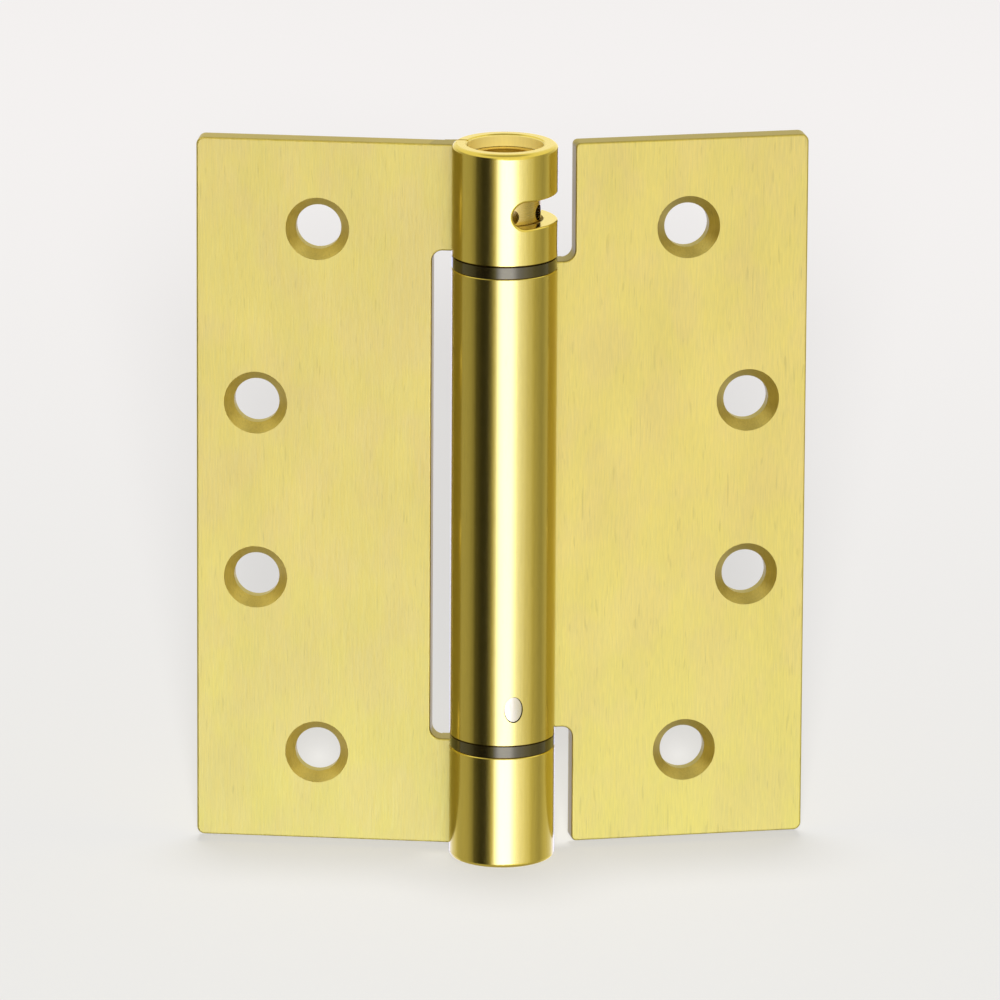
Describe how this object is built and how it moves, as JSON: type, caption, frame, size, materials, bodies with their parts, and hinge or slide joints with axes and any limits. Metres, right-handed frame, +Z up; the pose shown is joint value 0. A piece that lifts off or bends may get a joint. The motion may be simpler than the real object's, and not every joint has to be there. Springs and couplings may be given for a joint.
{
  "type": "full-mortise spring hinge",
  "caption": "Full-mortise spring hinge with rolled barrel, slotted top knuckle, tension collar, torsion spring and staggered countersunk screw holes.",
  "frame": {"origin": "on the pin axis, in the bottom end of the barrel", "axes": "+Z up the pin axis; the jamb leaf lies towards -X with its countersunk face towards -Y; the door leaf lies towards +X, turned back 17 degrees past straight"},
  "size_m": [0.0953, 0.0272, 0.1162],
  "materials": {
    "satin_brass": "brushed satin brass plate, brighter on the rolled barrel",
    "turned_brass": "bright turned brass plate",
    "black_nylon": "glossy black moulded nylon",
    "bright_steel": "bright zinc plate",
    "spring_steel": "oiled drawn spring wire"
  },
  "bodies": {
    "jamb": {"jamb_leaf": "satin_brass", "lower_pintle": "turned_brass", "pintle_washer": "bright_steel", "retaining_ring": "turned_brass"},
    "door": {"door_leaf": "satin_brass", "upper_bearing": "black_nylon", "lower_bearing": "black_nylon", "spring_anchor": "bright_steel", "anchor_pin": "bright_steel", "torsion_spring": "spring_steel"},
    "collar": {"tension_collar": "turned_brass", "collar_washer": "bright_steel", "spindle": "bright_steel", "spindle_washer": "bright_steel"}
  },
  "joints": [
    {"name": "leaf_swing", "type": "hinge", "parent": "jamb", "child": "door", "pos_m": [0, 0, 0.05815], "axis": [0, 0, 1], "range_deg": [-197, 73], "deforming": ["torsion_spring"]},
    {"name": "collar_turn", "type": "hinge", "parent": "jamb", "child": "collar", "pos_m": [0, 0, 0.1062], "axis": [0, 0, 1], "range_deg": [-300, 0], "deforming": ["torsion_spring"]}
  ]
}
